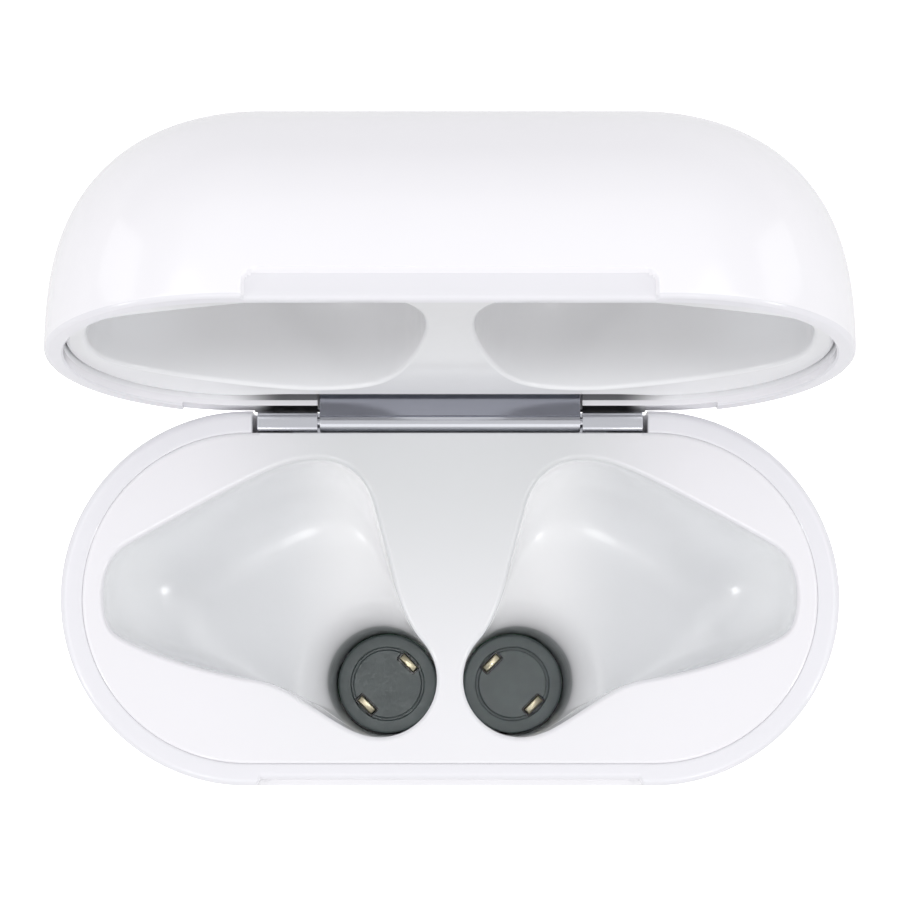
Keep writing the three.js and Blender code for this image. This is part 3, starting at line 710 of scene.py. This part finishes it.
# The mouth of the liner's right-hand pocket, with the lid shut, as a closed chain.
POCKET_CHAIN = [
    [(4.4, -8.35), (7.5, -8.6), (13, -6.7), (16.8, -5.36)],
    [(16.8, -5.36), (19.3, -4.4), (19.75, -3.6), (19.75, -1)],
    [(19.75, -1), (19.75, 1.4), (19.3, 2.4), (18.03, 3.57)],
    [(18.03, 3.57), (16, 5.3), (11.5, 7.3), (9.6, 7.75)],
    [(9.6, 7.75), (7.6, 8.3), (5.2, 8.3), (3.85, 6.69)],
    [(3.85, 6.69), (2.6, 5), (1.6, 0.6), (1.35, -2.4)],
    [(1.35, -2.4), (1.2, -5.2), (1.6, -7.9), (4.4, -8.35)],
]
FOOT_ANGLE = math.radians(-63)  # where the well's mouth leaves the stem tube, and where it comes back
RETURN_ANGLE = math.radians(135)
WELL_POINTS = 150


def along_chain(chain, count):
    """Evenly spaced points along a chain of cubic curves, ends included."""
    points = []
    for curve in np.array(chain, float):
        for t in np.linspace(0, 1, 60, endpoint=False):
            weights = np.array([(1 - t) ** 3, 3 * t * (1 - t) ** 2, 3 * t * t * (1 - t), t**3])
            points.append(weights @ curve)
    points.append(np.array(chain[-1][-1], float))
    points = np.array(points)
    run = np.concatenate([[0], np.cumsum(np.linalg.norm(np.diff(points, axis=0), axis=1))])
    at = np.linspace(0, run[-1], count)
    return np.stack([np.interp(at, run, points[:, i]) for i in (0, 1)], axis=1)


def smoothed(values, times):
    """Averages each row of a closed loop with its neighbours, as often as times says."""
    for _ in range(times):
        values = (np.roll(values, 1, axis=0) + 2 * values + np.roll(values, -1, axis=0)) / 4
    return values


def well_pairs():
    """Points round the well's mouth, each with its partner on the tube below."""
    mouth = along_chain(SCOOP_CHAIN, WELL_POINTS)
    tube_angle = np.linspace(FOOT_ANGLE, RETURN_ANGLE, WELL_POINTS)
    rest = np.linspace(RETURN_ANGLE, FOOT_ANGLE + 2 * math.pi, 66)[1:-1]

    def circle(angle):
        return STEM + STEM_R * np.stack([np.cos(angle), np.sin(angle)], axis=1)

    return np.vstack([mouth, circle(rest)]), circle(np.concatenate([tube_angle, rest]))


def well_plug(name, side, wall, bottom, top, lip=0.0):
    """The solid that fills a well, grown by wall all round, between two heights."""
    mouth, tube = well_pairs()
    run = np.linalg.norm(mouth - tube, axis=1, keepdims=True)
    mouth = smoothed(mouth, 3)
    outward = smoothed(outline_normals(mouth), 2)
    from_stem = (tube - STEM) / np.linalg.norm(tube - STEM, axis=1, keepdims=True)
    mouth, tube = mouth + outward * wall, tube + from_stem * wall
    reach = np.minimum(MOUTH_ROUND, 0.45 * run) / np.maximum(run, 1e-6)
    depth = SCOOP_DEPTH + wall

    def ring(share, z, drop=0.0, grow=0.0):
        part = share * (1 - reach * (1 - drop))
        flat = mouth + (tube - mouth) * part + outward * grow
        points = np.c_[flat * (side, 1), np.full(len(flat), z)]
        return points if side > 0 else points[::-1]

    rings = [ring(1, bottom, 1)]
    rings += [ring(1, z, 1) for z in np.linspace(bottom, -depth - MOUTH_ROUND, 8)[1:]]
    rings += [ring(1, -depth - MOUTH_ROUND * (1 - s), c) for c, s in quarter(8)[1:]]
    bowl = [(1 - c, s) for c, s in quarter(30, 2.6)]
    levels = [(share, -lip - (depth - lip) * fall) for share, fall in reversed(bowl[:-1])]
    rings += [ring(share, z) for share, z in levels if z < top - 0.05]
    if lip:
        rings += [ring(0, -lip * (1 - s), grow=lip * (1 - c)) for c, s in quarter(6)[1:]]
    rings.append(ring(0, top, grow=lip))
    return skin(name, rings)


def build_insert():
    rim, reach = RIM_WALL + DECK_GAP, WALL + INSERT_GAP
    edge = [inset(rim + INSERT_ROUND * (MIDWAY - c), -INSERT_ROUND * (1 - s)) for c, s in quarter(8)[4:]]
    body = skin("base_insert_body", [inset(rim, DECK_BOTTOM)] + edge)
    skirt = skin("skirt", [inset(reach, SKIRT_BOTTOM), inset(reach, SKIRT_TOP)])
    hollow_reach = reach + 0.8
    hollow = skin("hollow", [inset(hollow_reach, SKIRT_BOTTOM - 1), inset(hollow_reach, SKIRT_TOP + 0.1)])
    gap = block("gap", (-NOTCH_HALF, 0, SKIRT_BOTTOM - 1), (NOTCH_HALF, HALF_D, DECK_BOTTOM))
    skirt = combine(skirt, [hollow, gap])
    tongue_half, tongue_back = BRACKET_HALF - 0.06, HINGE[1] - KNUCKLE_R - 0.08
    tongue = rounded_rectangle(tongue_half, 1, 0.1, 4) + (0, tongue_back - 1)
    tongue = prism("tongue", tongue, -1.15, 0, 0.08)
    cups = [well_plug("cup", side, WELL_WALL, STEM_BOTTOM - 2.3, SKIRT_TOP) for side in (1, -1)]
    plugs = [well_plug("plug", side, 0, STEM_BOTTOM - 3, 1, WELL_LIP) for side in (1, -1)]
    return combine(combine(body, [skirt, tongue] + cups, "UNION"), plugs)


piece(build_insert(), "base_insert", "base", shaded_insert_white)


def pocket_plug(name, side, wall, face, lip=0.0):
    """The solid that fills a pocket of the liner, grown by wall all round, from z = face to its far end."""
    mouth = smoothed(along_chain(POCKET_CHAIN, 171)[:-1], 4)
    outward = outline_normals(mouth)
    spoke = mouth - POCKET_CENTRE
    length = np.linalg.norm(spoke, axis=1, keepdims=True)
    spoke = spoke / length

    def ring(share, z, grow=0.0):
        flat = POCKET_CENTRE + spoke * (length * share + wall) + outward * grow
        points = np.c_[flat * (side, 1), np.full(len(flat), z)]
        return points if side > 0 else points[::-1]

    depth = POCKET_DEPTH + wall
    rings = [ring(1, face, lip)]
    lip_steps = (0, 0.15, 0.35, 0.6) if lip else ()
    for s in lip_steps:
        rings.append(ring(1, LINER_FACE + lip * s, lip * (1 - math.sqrt(1 - (1 - s) ** 2))))
    levels = [(c, LINER_FACE + lip + (depth - lip) * s) for c, s in quarter(30, 2.6)[:-1]]
    rings += [ring(share, z) for share, z in levels if z > face + 0.05]
    rings.append(ring(0.06, LINER_FACE + depth))
    return skin(name, rings)


def build_liner():
    """The liner with its two pockets, and its back edge drawn in near the hinge."""
    reach = LID_WALL + INSERT_GAP
    edge = [
        inset(reach + INSERT_ROUND * (1 - s), LINER_FACE + INSERT_ROUND * (1 - c)) for c, s in quarter(5)
    ]
    body = skin("lid_liner_body", edge + [inset(reach, LINER_FACE + 1)])
    cups = [pocket_plug("cup", side, POCKET_WALL, LINER_FACE + 0.5) for side in (1, -1)]
    plugs = [pocket_plug("plug", side, 0, LINER_FACE - 1, POCKET_LIP) for side in (1, -1)]
    back = HALF_D - reach
    near, far, cut = 9, 14.5, 0.5
    sweep = math.pi / (far - near)
    side = [
        (x, back - cut * (0.5 + 0.5 * math.cos(sweep * (x - near)))) for x in np.linspace(near, far, 12)
    ]
    outline = [(far, back + 1), (-far, back + 1)] + [(-x, y) for x, y in reversed(side)] + side
    relief = prism("relief", outline, LINER_FACE - 1, LINER_FACE + 2)
    return lid_space(combine(combine(body, cups, "UNION"), plugs + [relief]))


piece(build_liner(), "lid_liner", "lid", shaded_liner_white)


# ---- Charging contacts ---------------------------------------------------------------------------
CONTACT_R = 1.9
BLADE = (0.25, 0.65)  # half a contact's thickness and half its width
BLADE_GAP = 0.12
BLADE_SHOULDER = STEM_BOTTOM + 0.1
TIP_ROUND = 0.1
SPRING_TOP, SPRING_BOTTOM = -30.3, -31.3
SPRING_SHEET = 0.04
CONTACT_PLACES = {"inner": math.radians(135), "outer": math.radians(-45)}


def at_contact(obj, side, angle):
    """Takes a piece from the Z axis, with X as its radial direction, to its place in a stem tube."""
    turn = Matrix.Rotation(angle if side > 0 else math.pi - angle, 4, "Z")
    tube = Matrix.Translation(Vector((side * STEM[0], STEM[1], 0)) * MM)
    return turned(obj, tube @ turn @ Matrix.Translation(Vector((CONTACT_R, 0, 0)) * MM))


def build_carrier(side):
    """The dark disc at a tube's foot, with a ring groove, a slight dish and two slots for the contacts."""
    top, bottom, radius = STEM_BOTTOM, STEM_BOTTOM - 2.2, STEM_R - 0.1
    profile = [(0, bottom), (radius, bottom)]
    profile += [(radius - 0.15 * (1 - c), top - 0.15 * (1 - s)) for c, s in quarter(5)]
    groove = [(2.4, 0), (2.35, -0.04), (2.31, -0.3), (2.21, -0.3), (2.17, -0.04), (2.12, 0)]
    profile += [(r, top + z) for r, z in groove]
    profile += [(1.4, top - 0.02), (0.7, top - 0.05), (0, top - 0.06)]
    disc = moved(lathe("contact_carrier_body", profile, 96), side * STEM[0], STEM[1])
    outline = rounded_rectangle(BLADE[0] + BLADE_GAP, BLADE[1] + BLADE_GAP, 0.12, 4)
    cutters = [
        at_contact(prism("slot", outline, bottom - 1, top + 1), side, angle)
        for angle in CONTACT_PLACES.values()
    ]
    return combine(disc, cutters)


def build_contact(side, angle):
    """A blade with a domed tip, seen end on in its slot."""
    outline = rounded_rectangle(*BLADE, 0.1, 5)
    normals = outline_normals(outline)
    levels = (STEM_BOTTOM - 1.2, STEM_BOTTOM - 0.4, BLADE_SHOULDER)
    rings = [np.c_[outline, np.full(len(outline), z)] for z in levels]
    for c, s in quarter(6)[1:]:
        shrunk = outline - normals * TIP_ROUND * (1 - c)
        height = BLADE_SHOULDER + 0.25 * s - 0.05 * (shrunk[:, 1] / BLADE[1]) ** 2 * s
        rings.append(np.c_[shrunk, height])
    return at_contact(skin("contact", rings), side, angle)


def build_spring(side, angle):
    """A strip of sheet bent to a C, standing between the film and the blade above it."""
    fall = np.linspace(0, 1, 25)
    height = SPRING_TOP - SPRING_BOTTOM - 2 * SPRING_SHEET
    path = np.c_[0.35 * np.cos(2 * math.pi * fall), SPRING_TOP - SPRING_SHEET - height * fall]
    slope = np.gradient(path, axis=0)
    across = np.c_[slope[:, 1], -slope[:, 0]] / np.linalg.norm(slope, axis=1, keepdims=True) * SPRING_SHEET
    outline = np.vstack([path + across, (path - across)[::-1]])
    return at_contact(along_x(prism("spring_strip", outline, -0.22, 0.22)), side, angle)


for label, side in (("left", -1), ("right", 1)):
    carrier = piece(build_carrier(side), f"contact_carrier_{label}", "base", slate)
    carrier.name = f"contact_carrier_{label}_moulded"
    for place_name, angle in CONTACT_PLACES.items():
        node = f"contact_{label}_{place_name}"
        tip = piece(build_contact(side, angle), node, node, gold)
        tip.name = f"{node}_tip"
        spring_node = f"contact_spring_{label}_{place_name}"
        spring = piece(build_spring(side, angle), spring_node, "base", spring_strip)
        spring.name = f"{spring_node}_strip"
        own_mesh(spring)


# ---- Hinge ---------------------------------------------------------------------------------------
def knuckle_outline(foot):
    """A post with a flattened round top, out to the knuckle's radius each way."""
    side = [(KNUCKLE_R * c, KNUCKLE_R * s) for c, s in quarter(12, 4)]
    return [(KNUCKLE_R, foot)] + side + [(-y, z) for y, z in reversed(side[:-1])] + [(-KNUCKLE_R, foot)]


def bore():
    return along_x(lathe("bore", [(0, -20), (BORE_R, -20), (BORE_R, 20), (0, 20)], 32))


def build_bracket():
    """The base's two side knuckles on one bar, with a bridge and a tail that reach down inside."""
    foot = -NOTCH_DEPTH + 0.15 - HINGE[2]
    front = -KNUCKLE_R
    bar = along_x(prism("hinge_base_bracket_body", knuckle_outline(foot), -BRACKET_HALF, BRACKET_HALF, 0.05))
    floor = front - 0.12
    bridge = block("bridge", (-9, front - 0.5, foot), (9, front + 0.2, floor - 0.25))
    tail = block("tail", (-9, front - 0.5, foot - 5.5), (9, front - 0.25, floor - 0.25))
    bar = combine(bar, [bridge, tail], "UNION")
    half = LEAF_HALF + LEAF_GAP
    channel = block("channel", (-half, -3, floor), (half, 3, 3))
    return moved(combine(bar, [channel, bore()]), y=HINGE[1], z=HINGE[2])


def build_leaf():
    """The lid's knuckle, with the plate that runs up into the lid and the seam where its sheet is rolled."""
    front, back, top = -KNUCKLE_R, -KNUCKLE_R + LEAF_THICKNESS, LEAF_TOP - HINGE[2]
    seam = [(0, 0.24), (0.05, 0.2), (0.14, 0.17), (0.14, 0.08), (0.06, 0.06)]
    rolled = np.linspace(math.pi - 0.1, 2 * math.pi + math.acos(back / KNUCKLE_R), 60)
    outline = [(back, top), (front, top)] + [(front + y, z) for y, z in seam]
    outline += [(KNUCKLE_R * math.cos(a), KNUCKLE_R * math.sin(a)) for a in rolled]
    leaf = along_x(prism("hinge_lid_leaf_body", outline, -LEAF_HALF, LEAF_HALF, 0.04))
    return lid_space(moved(combine(leaf, [bore()]), y=HINGE[1], z=HINGE[2]))


piece(build_bracket(), "hinge_base_bracket", "base", hinge_steel)
leaf = piece(build_leaf(), "hinge_lid_leaf", "lid", hinge_steel)
# The plate above the knuckle takes the darker copy of the steel, as painted shade.
leaf.data.materials.append(shaded_leaf_steel)
for face in leaf.data.polygons:
    face.material_index = int(face.center.y / MM > HINGE[1] + KNUCKLE_R)

pin_end = [(PIN_R, PIN_HALF - PIN_EASE), (PIN_R - PIN_EASE, PIN_HALF), (0, PIN_HALF)]
pin_profile = [(r, -x) for r, x in reversed(pin_end)] + pin_end
pin = moved(along_x(lathe("hinge_pin_rod", pin_profile, 32)), y=HINGE[1], z=HINGE[2])
piece(pin, "hinge_pin", "base", hinge_steel)


# ---- Button, light and port ----------------------------------------------------------------------
def build_button():
    """A slightly dished cap with a flange inside the casing."""
    face = HALF_D - 0.05
    flange_r, flange_back, flange_front = BUTTON_R + 0.6, HALF_D - WALL - 0.9, HALF_D - WALL - 0.4
    profile = [(0, flange_back), (flange_r, flange_back), (flange_r, flange_front)]
    profile += [(BUTTON_R, flange_front)]
    profile += [(BUTTON_R - 0.15 * (1 - c), face - 0.15 * (1 - s)) for c, s in quarter(6)]
    profile += [(2.2, face - 0.004), (1.6, face - 0.03), (0.8, face - 0.05), (0, face - 0.055)]
    return moved(facing_back(lathe("pairing_button_cap", profile, 96)), z=BUTTON_Z)


def build_light():
    """The light pipe: a short rod with a domed face just inside the front."""
    angles = np.linspace(0, math.pi / 2, 7)[:-1]
    dome = [(LIGHT_R * math.cos(a) - 0.05, HALF_D - 0.12 + 0.1 * math.sin(a)) for a in angles]
    profile = [(0, HALF_D - WALL), (LIGHT_R - 0.05, HALF_D - WALL)] + dome + [(0, HALF_D - 0.02)]
    return moved(facing_front(lathe("light_pipe_lens", profile, 40)), z=LIGHT_Z)


def build_port_trim():
    """A ring with rounded ends, and rounded edges, just inside the underside."""
    low, high = FLOOR_Z + 0.05, FLOOR_Z + 0.5

    def outline(grow):
        return rounded_rectangle(PORT_W + grow, PORT_D + grow, PORT_D + grow - 0.01, 20)

    body = prism("port_trim_ring_rim", outline(0.3), low, high, 0.08)
    return combine(body, [prism("hole", outline(-0.2), low - 1, high + 1)])


piece(build_button(), "pairing_button", "button", shell_white)
piece(build_light(), "light_pipe", "base", frosted)
piece(build_port_trim(), "port_trim_ring", "base", port_steel)


# ---- Pieces that keep their CAD shape ------------------------------------------------------------
EASED_EDGE = 0.08
kept = {
    nickel: [n for n in frame["nodes"] if "magnet" in n],
    film: ["contact_flex", "sensor_flex"],
    foil: ["battery_cell"],
    foam: ["battery_foam"],
    ferrite: ["ferrite_sheet"],
    copper: ["charging_coil"],
    board: ["main_board"],
    chip_black: ["controller_chip", "charger_chip", "charge_port_tongue", "button_switch", "lid_sensor"],
    pressed_steel: ["button_bracket"],
    port_steel: ["charge_port_shell"],
    frosted: ["status_led"],
}
for finish_used, names in kept.items():
    for name in names:
        node = frame["nodes"][name]
        node.data.materials.clear()
        node.data.materials.append(finish_used)
        edges = node.modifiers.new("edges", "BEVEL")
        edges.width = EASED_EDGE * MM
        edges.segments = 2
        edges.limit_method = "ANGLE"


# ---- Floor, light and camera ---------------------------------------------------------------------
def build_floor():
    """White paper, clear from below and right under the case so that the underside can be seen."""
    made, nodes, links, shader, place = material("floor_paper")
    tint = noise(nodes, links, place, 2.0)
    links.new(ramp(nodes, links, tint, (0.77, 0.77, 0.77), (0.79, 0.79, 0.79)), shader.inputs["Base Color"])
    shader.inputs["Roughness"].default_value = 0.9
    shader.inputs["Emission Color"].default_value = (1, 1, 1, 1)
    path = nodes.new("ShaderNodeLightPath")
    links.new(path.outputs["Is Camera Ray"], shader.inputs["Emission Strength"])
    close = nodes.new("ShaderNodeMath")
    close.operation = "LESS_THAN"
    close.inputs[1].default_value = 0.5 * MM
    links.new(path.outputs["Ray Length"], close.inputs[0])
    clear = nodes.new("ShaderNodeMath")
    clear.operation = "MAXIMUM"
    links.new(close.outputs["Value"], clear.inputs[0])
    links.new(nodes.new("ShaderNodeNewGeometry").outputs["Backfacing"], clear.inputs[1])
    from_below = nodes.new("ShaderNodeMixShader")
    links.new(clear.outputs["Value"], from_below.inputs["Fac"])
    links.new(shader.outputs["BSDF"], from_below.inputs[1])
    links.new(nodes.new("ShaderNodeBsdfTransparent").outputs["BSDF"], from_below.inputs[2])
    links.new(from_below.outputs["Shader"], nodes["Material Output"].inputs["Surface"])
    edge, level = 3000, FLOOR_Z - 0.02
    corners = [(-edge, -edge, level), (edge, -edge, level), (edge, edge, level), (-edge, edge, level)]
    floor = mesh_object("floor", corners, [(0, 1, 2, 3)])
    floor.data.materials.append(made)


def lamp(name, data, place=(0, 0, 0), direction=None):
    """Puts a lamp in the scene; without a direction it shines straight down."""
    made = bpy.data.objects.new(name, data)
    made.location = Vector(place) * MM
    if direction:
        made.rotation_euler = direction.to_track_quat("-Z", "Y").to_euler()
    bpy.context.scene.collection.objects.link(made)
    return made


def softbox(name, place, aim, width, height, power):
    data = bpy.data.lights.new(name, "AREA")
    data.shape = "RECTANGLE"
    data.size, data.size_y = width * MM, height * MM
    data.energy = power
    lamp(name, data, place, Vector(aim) - Vector(place))


def narrow_spot(name, x, y, energy):
    """A lamp straight above a stem tube, whose beam just covers the tube's foot."""
    data = bpy.data.lights.new(name, "SPOT")
    data.energy = energy
    data.spot_size = math.radians(1.75)
    data.spot_blend = 0.35
    data.shadow_soft_size = 0.3 * MM
    lamp(name, data, (x, y, 215)).visible_camera = False


def distant(name, direction, energy):
    """A broad distant lamp."""
    data = bpy.data.lights.new(name, "SUN")
    data.energy = energy
    data.angle = math.radians(35)
    lamp(name, data, direction=Vector(direction))


build_floor()
softbox("front_box", (0, -330, 330), (0, 5, 0), 560, 300, 0.285)
softbox("back_box", (0, 300, 380), (0, 5, 0), 560, 300, 0.12)
softbox("left_strip", (-300, -60, 260), (0, 5, -5), 110, 320, 0.1)
softbox("right_strip", (300, -60, 260), (0, 5, -5), 110, 320, 0.1)
distant("left_key", (0.5, -0.25, -0.83), 0.29)
distant("right_key", (-0.5, -0.25, -0.83), 0.29)
# The windows stand in for reflections in the wells, and the strips behind for the gloss on the lid's sides.
for side in (-1, 1):
    narrow_spot("well_spot", side * STEM[0], STEM[1], 0.33)
    softbox("window_low", (side * 340, -156, 165), (side * -17, 0.7, -6.8), 60, 70, 0.16)
    softbox("window_high", (side * 102, -265, 270), (side * -8.1, 3.8, -8.2), 45, 60, 0.048)
    softbox("gloss_strip", (side * -350, 190, 75), (side * -17, 17, 17), 110, 180, 0.05)


def build_world():
    """A sky that is brighter overhead as a light, and plain white to the camera."""
    world = bpy.data.worlds.new("studio")
    bpy.context.scene.world = world
    world.use_nodes = True
    nodes, links = world.node_tree.nodes, world.node_tree.links
    height = nodes.new("ShaderNodeSeparateXYZ")
    links.new(nodes.new("ShaderNodeTexCoord").outputs["Generated"], height.inputs["Vector"])
    sky = nodes.new("ShaderNodeMapRange")
    sky.inputs["To Min"].default_value = 0.6
    sky.inputs["To Max"].default_value = 0.86
    links.new(height.outputs["Z"], sky.inputs["Value"])
    shown = nodes.new("ShaderNodeMix")
    shown.inputs["B"].default_value = 1.1
    links.new(sky.outputs["Result"], shown.inputs["A"])
    links.new(nodes.new("ShaderNodeLightPath").outputs["Is Camera Ray"], shown.inputs["Factor"])
    nodes["Background"].inputs["Color"].default_value = (0.95, 0.95, 0.96, 1)
    links.new(shown.outputs["Result"], nodes["Background"].inputs["Strength"])


build_world()

def build_camera(eye, target, lens):
    """The camera, placed to match the photograph."""
    data = bpy.data.cameras.new("camera")
    data.sensor_width = 36
    data.lens = lens
    data.clip_start, data.clip_end = 0.01, 20
    made = bpy.data.objects.new("camera", data)
    made.location = eye * MM
    made.rotation_euler = (target - eye).to_track_quat("-Z", "Y").to_euler()
    bpy.context.scene.collection.objects.link(made)
    bpy.context.scene.camera = made


build_camera(Vector((0, -6.72, 220.8)), Vector((0, 8.4, 0)), 155.6)
bpy.context.scene.view_settings.view_transform = "Standard"
